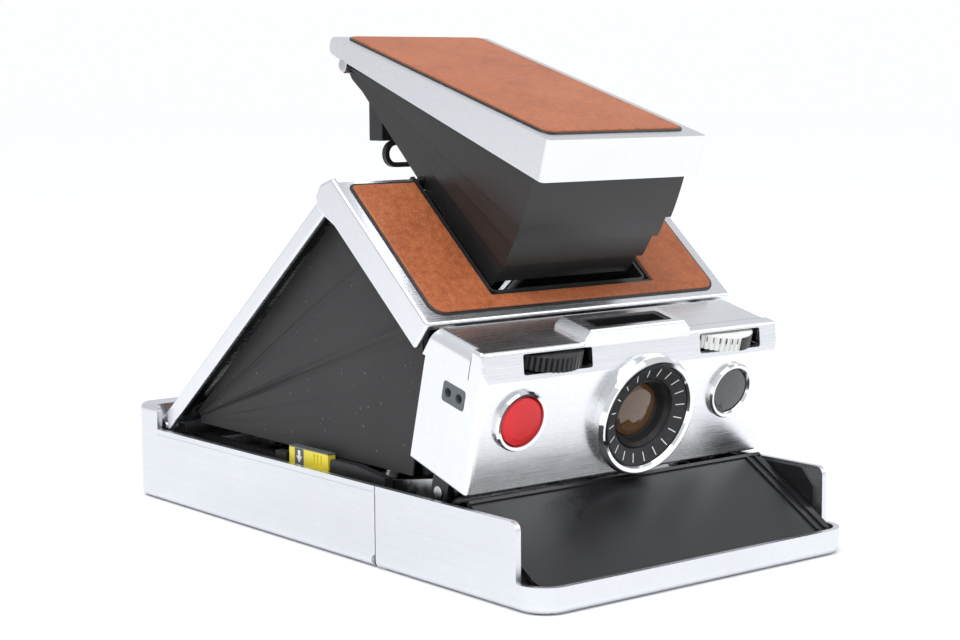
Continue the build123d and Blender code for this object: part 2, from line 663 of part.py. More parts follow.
PIVOT_IN_HOUSING = local_to(HOUSING_SIDE, SHUTTER_PIVOT)
COVER_PIVOT_IN_HOUSING = local_to(HOUSING_SIDE, FRONT_COVER_PIVOT)
with BuildPart() as shutter_frame:
    with BuildSketch(HOUSING_SIDE.offset(-46.1)):
        Polygon((16.2, 0.4), (16.2, 26.6), (17.6, 26.6), (17.6, 1.9), (20.5, 1.9), (20.5, 0.4), align=None)
        with Locations((11.9, 0.65)):
            Rectangle(10, 1.3)
    extrude(amount=92.2)
    with BuildSketch(HOUSING_SIDE.offset(44.2)):
        with Locations(PIVOT_IN_HOUSING):
            Circle(3)
        with Locations((PIVOT_IN_HOUSING[0], 0)):
            Rectangle(6, 2 * -PIVOT_IN_HOUSING[1])
        with Locations(PIVOT_IN_HOUSING):
            Circle(PIN_RADIUS, mode=Mode.SUBTRACT)
    extrude(amount=1.6)
    with BuildSketch(HOUSING_SIDE.offset(42.3)):
        Polygon(
            (15.4, 20), (15.4, 32.6), (18.2, 33.0), (21.4, 30.6), (20.6, 28.4), (18.4, 26.6), (17.6, 20),
            align=None,
        )
        with Locations(COVER_PIVOT_IN_HOUSING):
            Circle(COVER_PIN_RADIUS, mode=Mode.SUBTRACT)
    extrude(amount=1.5)
    mirror(about=Plane.YZ)
    with BuildSketch(HOUSING_SIDE.offset(-38)):
        Polygon((2.3, SHELF_FOOT), (2.3, SHELF_FOOT + 1), (17.6, SHELF_FOOT + 1), (17.6, 26), (16.2, 26),
                (16.2, SHELF_FOOT), align=None)
    extrude(amount=76)
    for across in (FOCUS_WHEEL_X, EXPOSURE_WHEEL_X):
        shaft_foot = Plane(
            origin=HOUSING_SIDE.from_local_coords(Vector(WHEEL_W, SHELF_FOOT + 0.5, across)),
            x_dir=(1, 0, 0),
            z_dir=HOUSING_SIDE.y_dir,
        )
        with BuildSketch(shaft_foot):
            Circle(WHEEL_SHAFT_RADIUS)
        extrude(amount=WHEEL_TOP - SHELF_FOOT - 0.2)
        with BuildSketch(shaft_foot):
            Circle(2.6)
        extrude(amount=WHEEL_FOOT - SHELF_FOOT - 0.8)
    with BuildSketch(HOUSING_FACE.offset(-22)):
        with Locations(LENS_AT):
            Circle(8)
    extrude(amount=12, mode=Mode.SUBTRACT)
save(shutter_frame, "shutter_frame")


with BuildPart() as shutter_pins:
    with BuildSketch(SIDE.offset(42.0)):
        with Locations(SHUTTER_PIVOT):
            Circle(PIN_RADIUS)
    extrude(amount=4.2)
    with BuildSketch(SIDE.offset(39.7)):
        with Locations(FRONT_COVER_PIVOT):
            Circle(COVER_PIN_RADIUS)
    extrude(amount=4.3)
    mirror(about=Plane.YZ)
save(shutter_pins, "shutter_pins")


def face_turning(at, outline):
    """Round piece made by turning (radius, height) points about an axis through the face."""
    plane = Plane(
        origin=HOUSING_FACE.from_local_coords(Vector(at[0], at[1], 0)),
        x_dir=HOUSING_FACE.x_dir,
        z_dir=-HOUSING_FACE.y_dir,
    )
    with BuildPart() as piece:
        with BuildSketch(plane):
            Polygon(*outline, align=None)
        revolve(axis=Axis(plane.origin, HOUSING_FACE.z_dir))
    return piece


lens_ring = face_turning(LENS_AT, [
    (13.3, -1.3), (13.3, 0.02), (15.1, 0.02), (15.1, 2.4), (14.6, 3.6),
    (14.2, 3.8), (13.3, 3.5), (12.95, 2.9), (12.95, -1.3),
])
save(lens_ring, "lens_ring")

focus_ring = face_turning(LENS_AT, [
    (12.85, -1.0), (12.85, 2.7), (12.5, 2.9), (9.2, 1.6), (8.9, 1.2), (8.9, -1.0),
])
save(focus_ring, "focus_ring")

lens_barrel = face_turning(LENS_AT, [
    (8.85, -7.0), (8.85, 1.1), (8.5, 1.4), (7.7, 0.2), (7.2, -1.6), (6.2, -3.2), (6.2, -7.0),
])
save(lens_barrel, "lens_barrel")

front_lens = face_turning(LENS_AT, [
    (0, -2.9), (6.1, -2.9), (6.6, -2.4), (6.7, -1.9), (5.4, -1.2), (3.0, -0.75), (0, -0.6),
])
save(front_lens, "front_lens")

rear_lens = face_turning(LENS_AT, [
    (0, -6.8), (6.1, -6.8), (6.1, -5.4), (3.0, -5.9), (0, -6.0),
])
save(rear_lens, "rear_lens")

button_ring = face_turning(BUTTON_AT, [
    (6.4, -1.3), (6.4, 0.02), (7.4, 0.02), (7.4, 0.9), (7.0, 1.5), (6.3, 1.3), (5.95, 0.5), (5.95, -1.3),
])
save(button_ring, "button_ring")

shutter_button = face_turning(BUTTON_AT, [
    (0, -2.6), (5.8, -2.6), (5.8, 0.9), (5.5, 1.25), (4.2, 1.5), (2.2, 1.65), (0, 1.7),
])
save(shutter_button, "shutter_button")

cell_ring = face_turning(CELL_AT, [
    (6.2, -1.3), (6.2, 0.02), (7.2, 0.02), (7.2, 0.8), (6.8, 1.4), (6.1, 1.2), (5.75, 0.5), (5.75, -1.3),
])
save(cell_ring, "cell_ring")

cell_window = face_turning(CELL_AT, [
    (0, -2.0), (5.7, -2.0), (5.7, 0.2), (5.2, 0.5), (2.6, 0.7), (0, 0.75),
])
save(cell_window, "cell_window")


def shutter_blade(depth, overlap):
    """Sliding blade behind the lens, a thin plate with a round-ended aperture to one side."""
    with BuildPart() as blade:
        with BuildSketch(HOUSING_FACE.offset(-depth)):
            with Locations((LENS_AT[0] - 2 * overlap, LENS_AT[1])):
                RectangleRounded(34, 18, 2)
            with Locations((LENS_AT[0] - 10.5 * overlap, LENS_AT[1])):
                Circle(3.6, mode=Mode.SUBTRACT)
        extrude(amount=-0.35)
    return blade


left_blade = shutter_blade(8.0, 1)
save(left_blade, "left_blade")
right_blade = shutter_blade(8.8, -1)
save(right_blade, "right_blade")


def thumb_wheel(across, ribs):
    """Knurled wheel lying under the top cover, its axis up the housing."""
    plane = Plane(
        origin=HOUSING_SIDE.from_local_coords(Vector(WHEEL_W, WHEEL_FOOT, across)),
        x_dir=(1, 0, 0),
        z_dir=HOUSING_SIDE.y_dir,
    )
    points = []
    for rib in range(ribs):
        for radius, offset in ((WHEEL_RADIUS - 0.5, 0.0), (WHEEL_RADIUS, 0.25), (WHEEL_RADIUS, 0.75)):
            angle = 2 * math.pi * (rib + offset) / ribs
            points.append((radius * math.cos(angle), radius * math.sin(angle)))
    with BuildPart() as wheel:
        with BuildSketch(plane):
            Polygon(*points, align=None)
        extrude(amount=WHEEL_TOP - WHEEL_FOOT)
        with BuildSketch(plane.offset(-1)):
            Circle(WHEEL_SHAFT_RADIUS + RUNNING)
        extrude(amount=WHEEL_TOP - WHEEL_FOOT + 2, mode=Mode.SUBTRACT)
    return wheel


focus_wheel = thumb_wheel(FOCUS_WHEEL_X, 48)
save(focus_wheel, "focus_wheel")
exposure_wheel = thumb_wheel(EXPOSURE_WHEEL_X, 48)
save(exposure_wheel, "exposure_wheel")

SOCKET_TOP = Plane(
    origin=HOUSING_SIDE.from_local_coords(Vector(7.4, BUMP_TOP - 0.25, 0)),
    x_dir=(1, 0, 0),
    z_dir=HOUSING_SIDE.y_dir,
)
with BuildPart() as flash_socket:
    with BuildSketch(SOCKET_TOP):
        RectangleRounded(24.8, 6.2, 0.7)
    extrude(amount=-4.9)
    with BuildSketch(SOCKET_TOP):
        RectangleRounded(22.0, 4.2, 0.4)
    extrude(amount=-4.2, mode=Mode.SUBTRACT)
    with BuildSketch(SOCKET_TOP.offset(-4.2)):
        Rectangle(20.0, 0.9)
    extrude(amount=2.6)
save(flash_socket, "flash_socket")

with BuildPart() as remote_socket:
    with BuildSketch(HOUSING_SIDE.offset(-HOUSING_HALF_WIDTH - 0.1)):
        with Locations((9.75, 21.6)):
            RectangleRounded(8.2, 4.8, 0.8)
    extrude(amount=3.6)
    with BuildSketch(HOUSING_SIDE.offset(-HOUSING_HALF_WIDTH - 0.1)):
        for along in (7.7, 11.8):
            with Locations((along, 21.6)):
                Circle(1.15)
    extrude(amount=2.6, mode=Mode.SUBTRACT)
save(remote_socket, "remote_socket")

# ================= Front cover =================

with BuildPart() as front_cover_shell:
    with BuildSketch(FRONT_SIDE.offset(-FRONT_HALF_WIDTH)) as flange_side:
        Polygon((2.2, 0), (-FRONT_LENGTH, 0), (-FRONT_LENGTH, -FRONT_FLANGE), (-6, -FRONT_FLANGE - 0.2),
                (1.7, -10.2), (4.6, -8.2), (5.0, -4.6), align=None)
        fillet(flange_side.vertices(), 0.8)
    extrude(amount=2 * FRONT_HALF_WIDTH)
    outer_edges = front_cover_shell.edges().filter_by(
        lambda e: abs(abs(e.center().X) - FRONT_HALF_WIDTH) < 0.01
        and abs(FRONT_SIDE.to_local_coords(e.center()).Y) < 0.01
    )
    fillet(outer_edges, 0.7)
    with BuildSketch(FRONT_SIDE.offset(-FRONT_HALF_WIDTH + SKIN)):
        Polygon(
            (8, -SKIN), (-FRONT_LENGTH + SKIN, -SKIN), (-FRONT_LENGTH + SKIN, -1.8), (-FRONT_LENGTH - 2, -1.8),
            (-FRONT_LENGTH - 2, -14), (8, -14),
            align=None,
        )
    extrude(amount=2 * (FRONT_HALF_WIDTH - SKIN), mode=Mode.SUBTRACT)
    with BuildSketch(FRONT_SHEET.offset(2)):
        with Locations((0, (FRAME_FRONT - 0.1 + 10) / 2)):
            Rectangle(2 * FRAME_HALF_WIDTH + 0.2, 10 - FRAME_FRONT + 0.1)
    extrude(amount=-6, mode=Mode.SUBTRACT)
    with BuildSketch(FRONT_SHEET.offset(2)):
        with Locations((0, 6)):
            Rectangle(2 * (FRONT_HALF_WIDTH - SKIN), 10.6)
    extrude(amount=-16, mode=Mode.SUBTRACT)
    for start in (40.0, -41.5):
        with BuildSketch(FRONT_SIDE.offset(start)):
            with Locations(local_to(FRONT_SIDE, FRONT_COVER_PIVOT)):
                Circle(1.9)
            Polygon(
                (-50.9, -5.3), (-49, -2.0), (-46.6, -1.8), (-46.6, -SKIN), (-36, -SKIN), (-46, -5.7),
                align=None,
            )
            with Locations(local_to(FRONT_SIDE, FRONT_COVER_PIVOT)):
                Circle(COVER_PIN_RADIUS + RUNNING, mode=Mode.SUBTRACT)
        extrude(amount=1.5)
save(front_cover_shell, "front_cover_shell")

with BuildPart() as front_cover_leather:
    with BuildSketch(FRONT_SHEET) as leather_plan:
        with Locations((0, -22.9)):
            Rectangle(91, 43.8)
        fillet(leather_plan.vertices().group_by(Axis.Y)[0], 3)
        with Locations((0, (FRAME_FRONT + 2) / 2)):
            Rectangle(2 * FRAME_HALF_WIDTH + 0.3, 2 - FRAME_FRONT + 0.3, mode=Mode.SUBTRACT)
    extrude(amount=LEATHER)
save(front_cover_leather, "front_cover_leather")

with BuildPart() as viewfinder_frame:
    with BuildSketch(FRONT_SHEET) as frame_plan:
        with Locations((0, (FRAME_FRONT + FRAME_REAR) / 2)):
            Rectangle(2 * FRAME_HALF_WIDTH, FRAME_REAR - FRAME_FRONT)
        fillet(frame_plan.vertices().group_by(Axis.Y)[0], 3.0)
        with Locations((0, (FRAME_FRONT + FRAME_FRONT_BAR + FRAME_REAR - FRAME_REAR_BAR) / 2)):
            opening_length = FRAME_REAR - FRAME_REAR_BAR - FRAME_FRONT - FRAME_FRONT_BAR
            RectangleRounded(2 * FRAME_OPENING, opening_length, 1.0, mode=Mode.SUBTRACT)
    extrude(amount=-FRAME_DEPTH)
    for across, depth in SHADE_SLOTS:
        with BuildSketch(FRONT_SHEET):
            for side in (-1, 1):
                with Locations((side * across, FRAME_REAR - 0.7)):
                    Rectangle(SHADE_SLOT_WIDTH, 4)
        extrude(amount=-depth, mode=Mode.SUBTRACT)
    for start in (20.3, -21.0):
        with BuildSketch(FRONT_SIDE.offset(start)):
            Polygon(
                (FRAME_REAR - 1.2, -2.9), (FRAME_REAR - 1.2, -0.4), (38.5, 1.0), (40.2, 3.0), (42.4, 4.0), (44.3, 3.0),
                (44.4, 0.4), (43.4, -1.6), (41.6, -2.1), (36.0, -1.6),
                align=None,
            )
            with Locations(local_to(FRONT_SIDE, VIEW_HINGE)):
                Circle(VIEW_PIN_RADIUS, mode=Mode.SUBTRACT)
            with Locations(local_to(FRONT_SIDE, EYEPIECE_HINGE)):
                Circle(EYEPIECE_AXLE + RUNNING, mode=Mode.SUBTRACT)
        extrude(amount=0.7)
save(viewfinder_frame, "viewfinder_frame")

# ================= Rear cover =================

with BuildPart() as rear_cover_shell:
    with BuildSketch(REAR_SIDE.offset(-REAR_HALF_WIDTH)) as cover_side:
        Polygon((0, 0), (-REAR_LENGTH, 0), (-REAR_LENGTH - 2.4, -2.6), (-REAR_LENGTH, -5.3),
                (-REAR_LENGTH + 4, -REAR_FLANGE), (-6, -REAR_FLANGE), (-0.9, -5.4), (1.7, -2.7), align=None)
        fillet(cover_side.vertices(), 0.6)
    extrude(amount=2 * REAR_HALF_WIDTH)
    outer_edges = rear_cover_shell.edges().filter_by(
        lambda e: abs(abs(e.center().X) - REAR_HALF_WIDTH) < 0.01
        and abs(REAR_SIDE.to_local_coords(e.center()).Y) < 0.01
    )
    fillet(outer_edges, 0.7)
    with BuildSketch(REAR_SIDE.offset(-REAR_HALF_WIDTH + SKIN)):
        Polygon((8, -SKIN), (-REAR_LENGTH - 8, -SKIN), (-REAR_LENGTH - 8, -12), (8, -12), align=None)
    extrude(amount=2 * (REAR_HALF_WIDTH - SKIN), mode=Mode.SUBTRACT)
    with BuildSketch(SIDE.offset(-60)):
        with Locations(COVER_PIVOT):
            Circle(COVER_PIN_RADIUS + RUNNING)
    extrude(amount=120, mode=Mode.SUBTRACT)
    with BuildSketch(REAR_SHEET.offset(1)):
        for side in (-1, 1):
            with Locations((side * 44.2, -1)):
                Rectangle(2.2, 11)
    extrude(amount=-3, mode=Mode.SUBTRACT)
save(rear_cover_shell, "rear_cover_shell")

with BuildPart() as rear_cover_leather:
    with BuildSketch(REAR_SHEET) as rear_leather_plan:
        with Locations((0, -REAR_LENGTH / 2)):
            Rectangle(88, REAR_LENGTH - 8)
        fillet(rear_leather_plan.vertices(), 3)
    extrude(amount=LEATHER)
save(rear_cover_leather, "rear_cover_leather")

with BuildPart() as taking_mirror:
    with BuildSketch(REAR_SHEET.offset(-SKIN - 0.6)):
        Polygon((-39, -12), (39, -12), (31, -98), (-31, -98), align=None)
    extrude(amount=-2.2)
save(taking_mirror, "taking_mirror")

with BuildPart() as cover_rivets:
    for along in (-12, -52, -60, -96):
        with BuildSketch(REAR_SIDE.offset(REAR_HALF_WIDTH - SKIN)):
            with Locations((along, -2.9)):
                Circle(0.9)
        extrude(amount=-0.7)
    mirror(about=Plane.YZ)
save(cover_rivets, "cover_rivets")

# ================= Viewfinder cap and shade =================

HINGE_IN_CAP = local_to(CAP_SIDE, VIEW_HINGE)
with BuildPart() as cap_shell:
    with BuildSketch(CAP_SIDE.offset(-CAP_HALF_WIDTH)) as cap_outline:
        Polygon((0, 0), (-CAP_LENGTH, 0), (-CAP_LENGTH, -CAP_FRONT_DEPTH), (0, -CAP_REAR_DEPTH), align=None)
        fillet(cap_outline.vertices().group_by(Axis.X)[-1], 2.0)
    extrude(amount=2 * CAP_HALF_WIDTH)
    upright_corners = cap_shell.edges().filter_by(
        lambda e: abs(CAP_SIDE.to_local_coords(e.center()).X + CAP_LENGTH) < 0.05
        and abs(e.tangent_at(0.5).X) < 0.01
    )
    fillet(upright_corners, 1.2)
    with BuildSketch(CAP_SIDE.offset(-CAP_HALF_WIDTH + CAP_WALL)):
        Polygon((-1.6, -1.0), (-CAP_LENGTH + 1.2, -1.0), (-CAP_LENGTH + 1.2, -14), (-1.6, -14), align=None)
    extrude(amount=2 * (CAP_HALF_WIDTH - CAP_WALL), mode=Mode.SUBTRACT)
    for start in (CAP_HALF_WIDTH - CAP_WALL, -CAP_HALF_WIDTH):
        with BuildSketch(CAP_SIDE.offset(start)):
            with Locations(HINGE_IN_CAP):
                Circle(1.8)
            with Locations((HINGE_IN_CAP[0], HINGE_IN_CAP[1] + 1.2)):
                Rectangle(3.6, 2.4)
        extrude(amount=CAP_WALL)
    with BuildSketch(SIDE.offset(-CAP_HALF_WIDTH - 1)):
        with Locations(VIEW_HINGE):
            Circle(VIEW_PIN_RADIUS + RUNNING)
    extrude(amount=2 * CAP_HALF_WIDTH + 2, mode=Mode.SUBTRACT)
save(cap_shell, "cap_shell")

with BuildPart() as cap_leather:
    with BuildSketch(CAP_SHEET) as cap_leather_plan:
        with Locations((0, -44.5)):
            Rectangle(44, 83)
        fillet(cap_leather_plan.vertices(), 2)
    extrude(amount=LEATHER)
save(cap_leather, "cap_leather")

with BuildPart() as viewing_mirror:
    with BuildSketch(CAP_SHEET.offset(-1.1)):
        with Locations((0, -60)):
            Rectangle(40, 44)
    extrude(amount=-0.9)
save(viewing_mirror, "viewing_mirror")


def on_front_side(along, normal):
    """(y, z) of a point given along and square to the front cover."""
    point = FRONT_SIDE.from_local_coords(Vector(along, normal, 0))
    return (point.Y, point.Z)


SHADE_SKIRT = [on_front_side(-35.3, -2.2), on_front_side(0, -2.1), on_front_side(41.0, -0.4)]


def shade_section(index):
    """One U-shaped section of the folding light shade, its three walls round the viewfinder hinge."""
    top, bottom = (math.radians(value) for value in SHADE_BANDS[index])
    outer_radius = SHADE_RADIUS - SHADE_STEP * index
    half_width = SHADE_HALF_WIDTH - SHADE_STEP * index
    hinge_y, hinge_z = VIEW_HINGE

    def at(radius, angle):
        return (hinge_y - radius * math.cos(angle), hinge_z - radius * math.sin(angle))

    steps = 8
    arc = [at(outer_radius, top + (bottom - top) * step / steps) for step in range(steps + 1)]
    inner = outer_radius - SHADE_WALL
    inner_arc = [at(inner, top + (bottom - top) * step / steps) for step in range(steps + 1)]
    skirt = SHADE_SKIRT if index == len(SHADE_BANDS) - 1 else []
    with BuildPart() as section:
        with BuildSketch(SIDE.offset(-half_width)):
            Polygon(*arc, *reversed(inner_arc), align=None)
        extrude(amount=2 * half_width)
        for start in (-half_width, half_width - SHADE_WALL):
            with BuildSketch(SIDE.offset(start)):
                Polygon((hinge_y, hinge_z), *arc, *skirt, align=None)
                with Locations(VIEW_HINGE):
                    Circle(2.2)
                    Circle(VIEW_PIN_RADIUS + RUNNING, mode=Mode.SUBTRACT)
            extrude(amount=SHADE_WALL)
    return section


for number in range(4):
    save(shade_section(number), f"shade_section_{number + 1}")

with BuildPart() as view_hinge_pins:
    with BuildSketch(SIDE.offset(20.3)):
        with Locations(VIEW_HINGE):
            Circle(VIEW_PIN_RADIUS)
    extrude(amount=5.05)
    mirror(about=Plane.YZ)
save(view_hinge_pins, "view_hinge_pins")

# ================= Eyepiece =================

EYE_Y, EYE_Z = EYEPIECE_TOP
with BuildPart() as eyepiece_body:
    with BuildSketch(SIDE.offset(-EYEPIECE_HALF_WIDTH)) as eye_side:
        Polygon(
            (EYE_Y - 3.9, EYE_Z - 1.6), (EYE_Y - 3.9, EYE_Z + 1.0), (EYE_Y + 2.0, EYE_Z + 1.6), (EYE_Y + 3.2, EYE_Z - 4),
            (EYE_Y + 3.2, EYE_Z - 18), (EYE_Y - 2.6, EYE_Z - 18), (EYE_Y - 2.6, EYE_Z - 2.6),
            align=None,
        )
        fillet(eye_side.vertices(), 0.5)
    extrude(amount=2 * EYEPIECE_HALF_WIDTH)
    with BuildSketch(Plane.XZ.offset(-EYE_Y - 8)):
        with Locations((0, EYE_Z - 9.5)):
            RectangleRounded(16, 10, 3)
    extrude(amount=16, mode=Mode.SUBTRACT)
    with BuildSketch(SIDE.offset(-21.1)):
        with Locations(EYEPIECE_HINGE):
            Circle(EYEPIECE_AXLE)
    extrude(amount=42.2)
save(eyepiece_body, "eyepiece_body")

with BuildPart() as eyepiece_lens:
    with BuildSketch(Plane.XZ.offset(-EYE_Y - 1.6)):
        with Locations((0, EYE_Z - 9.5)):
            RectangleRounded(15.9, 9.9, 2.95)
    extrude(amount=2.0)
save(eyepiece_lens, "eyepiece_lens")

with BuildPart() as eyepiece_loop:
    with BuildSketch(Plane.XZ.offset(-EYE_Y - 1.0)):
        with Locations((0, EYE_Z - 21.6)):
            RectangleRounded(19, 7.2, 3.5)
            RectangleRounded(16.4, 4.6, 2.2, mode=Mode.SUBTRACT)
    extrude(amount=1.6)
save(eyepiece_loop, "eyepiece_loop")

# ================= Bellows =================

with BuildPart() as bellows:
    rim_points = [(70, 22.3), (-6.5, 83.2), (-36, 57), (-37.2, 50), (-32.5, 26)]
    with BuildSketch(SIDE.offset(-42)):
        Polygon(*rim_points, align=None)
    extrude(amount=84)
    with BuildSketch(SIDE.offset(-41.2)):
        Polygon((72, 20), (66, 24), (-6.5, 81.6), (-34.6, 56.2), (-35.6, 50), (-31, 20), align=None)
    extrude(amount=82.4, mode=Mode.SUBTRACT)
save(bellows, "bellows")
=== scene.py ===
import math

import bmesh
import bpy
from mathutils import Matrix, Vector


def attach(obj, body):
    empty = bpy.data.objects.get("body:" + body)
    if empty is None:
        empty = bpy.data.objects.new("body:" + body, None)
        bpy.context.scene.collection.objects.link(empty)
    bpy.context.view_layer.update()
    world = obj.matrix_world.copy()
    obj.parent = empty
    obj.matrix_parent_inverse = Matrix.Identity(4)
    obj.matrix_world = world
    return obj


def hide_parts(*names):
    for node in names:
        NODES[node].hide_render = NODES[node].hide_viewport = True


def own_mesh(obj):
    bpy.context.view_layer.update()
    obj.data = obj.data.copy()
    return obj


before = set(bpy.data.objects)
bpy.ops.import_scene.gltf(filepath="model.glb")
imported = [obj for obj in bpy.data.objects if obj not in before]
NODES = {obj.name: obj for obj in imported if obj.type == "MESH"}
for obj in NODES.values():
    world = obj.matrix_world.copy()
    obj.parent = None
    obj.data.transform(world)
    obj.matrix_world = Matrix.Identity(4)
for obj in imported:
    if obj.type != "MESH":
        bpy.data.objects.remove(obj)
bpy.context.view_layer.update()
MM = 0.001

# ---------------- Materials ----------------


def start(name, color, roughness, metallic=0.0, **sockets):
    """A new Principled material; returns the material, its tree and its shader."""
    made = bpy.data.materials.new(name)
    made.use_nodes = True
    tree = made.node_tree
    shader = tree.nodes["Principled BSDF"]
    shader.inputs["Base Color"].default_value = (*color, 1)
    shader.inputs["Roughness"].default_value = roughness
    shader.inputs["Metallic"].default_value = metallic
    for socket, value in sockets.items():
        shader.inputs[socket.replace("_", " ")].default_value = value
    return made, tree, shader


def add(tree, kind, **values):
    """A node whose inputs are given by name; a value that is a socket is linked."""
    node = tree.nodes.new("ShaderNode" + kind)
    for key, value in values.items():
        key = key.replace("_", " ")
        if isinstance(value, bpy.types.NodeSocket):
            tree.links.new(value, node.inputs[key])
        else:
            node.inputs[key].default_value = value
    return node


def place(tree, scale=(1, 1, 1)):
    """Object coordinates, in metres, scaled for a texture."""
    where = tree.nodes.new("ShaderNodeTexCoord")
    return add(tree, "Mapping", Vector=where.outputs["Object"], Scale=scale).outputs["Vector"]


def noise(tree, vector, scale, detail=3.0, roughness=0.55):
    """Fractal noise value at a place."""
    values = {"Vector": vector, "Scale": scale, "Detail": detail, "Roughness": roughness}
    return add(tree, "TexNoise", **values).outputs["Fac"]


def ramp(tree, value, stops):
    """Colour ramp through (position, colour) stops; a number stands for a grey."""
    node = add(tree, "ValToRGB", Fac=value)
    while len(node.color_ramp.elements) < len(stops):
        node.color_ramp.elements.new(0.5)
    for element, (position, color) in zip(node.color_ramp.elements, stops):
        element.position = position
        element.color = (*color, 1) if isinstance(color, tuple) else (color, color, color, 1)
    return node.outputs["Color"]


def spread(tree, value, low, high):
    """The value's middle range stretched to run from low to high."""
    node = tree.nodes.new("ShaderNodeMapRange")
    tree.links.new(value, node.inputs["Value"])
    node.inputs["From Min"].default_value = 0.3
    node.inputs["From Max"].default_value = 0.7
    node.inputs["To Min"].default_value = low
    node.inputs["To Max"].default_value = high
    return node.outputs["Result"]


def blend_colors(tree, amount, first, second, how="MIX"):
    node = tree.nodes.new("ShaderNodeMix")
    node.data_type = "RGBA"
    node.blend_type = how
    for socket, value in (("Factor", amount), ("A", first), ("B", second)):
        target = [s for s in node.inputs if s.name == socket and s.enabled][0]
        if isinstance(value, bpy.types.NodeSocket):
            tree.links.new(value, target)
        else:
            target.default_value = value if isinstance(value, float) else (*value, 1)
    return [s for s in node.outputs if s.enabled][0]


def bump(tree, shader, height, strength, distance, under=None):
    node = add(tree, "Bump", Height=height, Strength=strength, Distance=distance)
    if under is not None:
        tree.links.new(under, node.inputs["Normal"])
    tree.links.new(node.outputs["Normal"], shader.inputs["Normal"])
    return node.outputs["Normal"]


def brushed(name, color, dark, roughness, along, depth):
    """Brushed plated metal: hair lines along one axis, broader bands and cloudy handling marks."""
    made, tree, shader = start(name, color, roughness, 1.0)
    across = [7000.0, 7000.0, 7000.0]
    across[along] = 60.0
    lines = noise(tree, place(tree, tuple(across)), 1.0, 4.0, 0.65)
    broad = [900.0, 900.0, 900.0]
    broad[along] = 12.0
    bands = noise(tree, place(tree, tuple(broad)), 1.0, 3.0, 0.6)
    cloud = noise(tree, place(tree), 42.0, 4.0, 0.6)
    streaks = blend_colors(tree, 0.3, lines, bands)
    tone = ramp(tree, streaks, [(0.32, dark), (0.6, color)])
    worn = blend_colors(tree, spread(tree, cloud, 0.0, 0.35), tone, tuple(c * 0.93 for c in color))
    tree.links.new(worn, shader.inputs["Base Color"])
    rough = add(tree, "Math", Value=spread(tree, lines, roughness - 0.07, roughness + 0.09))
    tree.links.new(spread(tree, cloud, -0.03, 0.05), rough.inputs[1])
    tree.links.new(rough.outputs["Value"], shader.inputs["Roughness"])
    bump(tree, shader, streaks, depth, 0.00006)
    return made


def moulded(name, color, roughness, grain=900.0, depth=0.25, specular=0.4, dust=0.12):
    """Moulded plastic with a spark-eroded texture, soft sheen changes and a little dust."""
    made, tree, shader = start(name, color, roughness, 0.0, Specular_IOR_Level=specular)
    fine = noise(tree, place(tree), grain * 2.2, 3.0, 0.6)
    coarse = noise(tree, place(tree), 55.0, 4.0, 0.6)
    specks = noise(tree, place(tree), 1500.0, 2.0, 0.5)
    lighter = tuple(min(1.0, c * 1.55 + 0.006) for c in color)
    tone = blend_colors(tree, spread(tree, coarse, 0.0, 0.55), color, lighter)
    dusty = ramp(tree, specks, [(0.66, 0.0), (0.74, dust)])
    light = blend_colors(tree, dusty, tone, (0.45, 0.44, 0.42))
    tree.links.new(light, shader.inputs["Base Color"])
    tree.links.new(spread(tree, coarse, roughness - 0.06, roughness + 0.08), shader.inputs["Roughness"])
    bump(tree, shader, fine, depth, 0.00008)
    return made


def polished(name, color, roughness):
    """Polished plating with faint turning marks and finger haze."""
    made, tree, shader = start(name, color, roughness, 1.0)
    haze = noise(tree, place(tree), 120.0, 4.0, 0.6)
    fine = noise(tree, place(tree), 2400.0, 2.0, 0.5)
    tone = ramp(tree, haze, [(0.3, tuple(c * 0.9 for c in color)), (0.7, color)])
    tree.links.new(tone, shader.inputs["Base Color"])
    tree.links.new(spread(tree, haze, roughness * 0.6, roughness * 1.8), shader.inputs["Roughness"])
    bump(tree, shader, fine, 0.03, 0.00004)
    return made


def hide(name, deep, mid, light):
    """Full-grain leather: pebbled cells, pores and soft mottling."""
    sheen = {"Specular_IOR_Level": 0.35, "Sheen_Weight": 0.12, "Sheen_Roughness": 0.4}
    made, tree, shader = start(name, mid, 0.55, 0.0, **sheen)
    where = place(tree)
    wander = noise(tree, where, 300.0, 2.0, 0.5)
    cells = tree.nodes.new("ShaderNodeTexVoronoi")
    cells.feature = "DISTANCE_TO_EDGE"
    cells.inputs["Scale"].default_value = 1150.0
    cells.inputs["Randomness"].default_value = 1.0
    moved = tree.nodes.new("ShaderNodeVectorMath")
    moved.operation = "MULTIPLY_ADD"
    tree.links.new(wander, moved.inputs[0])
    moved.inputs[1].default_value = (0.0012, 0.0012, 0.0012)
    tree.links.new(where, moved.inputs[2])
    tree.links.new(moved.outputs["Vector"], cells.inputs["Vector"])
    pebble = ramp(tree, cells.outputs["Distance"], [(0.0, 0.0), (0.16, 0.8), (0.5, 1.0)])
    patches = noise(tree, where, 60.0, 5.0, 0.62)
    fine = noise(tree, where, 520.0, 3.0, 0.6)
    pores = noise(tree, where, 1900.0, 2.0, 0.5)
    mixed = blend_colors(tree, 0.6, patches, fine)
    tone = ramp(tree, mixed, [(0.36, deep), (0.5, mid), (0.66, light)])
    creased = blend_colors(tree, 0.28, tone, pebble, "MULTIPLY")
    pored = blend_colors(tree, ramp(tree, pores, [(0.3, 0.35), (0.4, 0.0)]), creased, deep)
    tree.links.new(pored, shader.inputs["Base Color"])
    tree.links.new(spread(tree, fine, 0.46, 0.66), shader.inputs["Roughness"])
    soft = bump(tree, shader, patches, 0.14, 0.0005)
    bump(tree, shader, pebble, 0.35, 0.00007, soft)
    return made


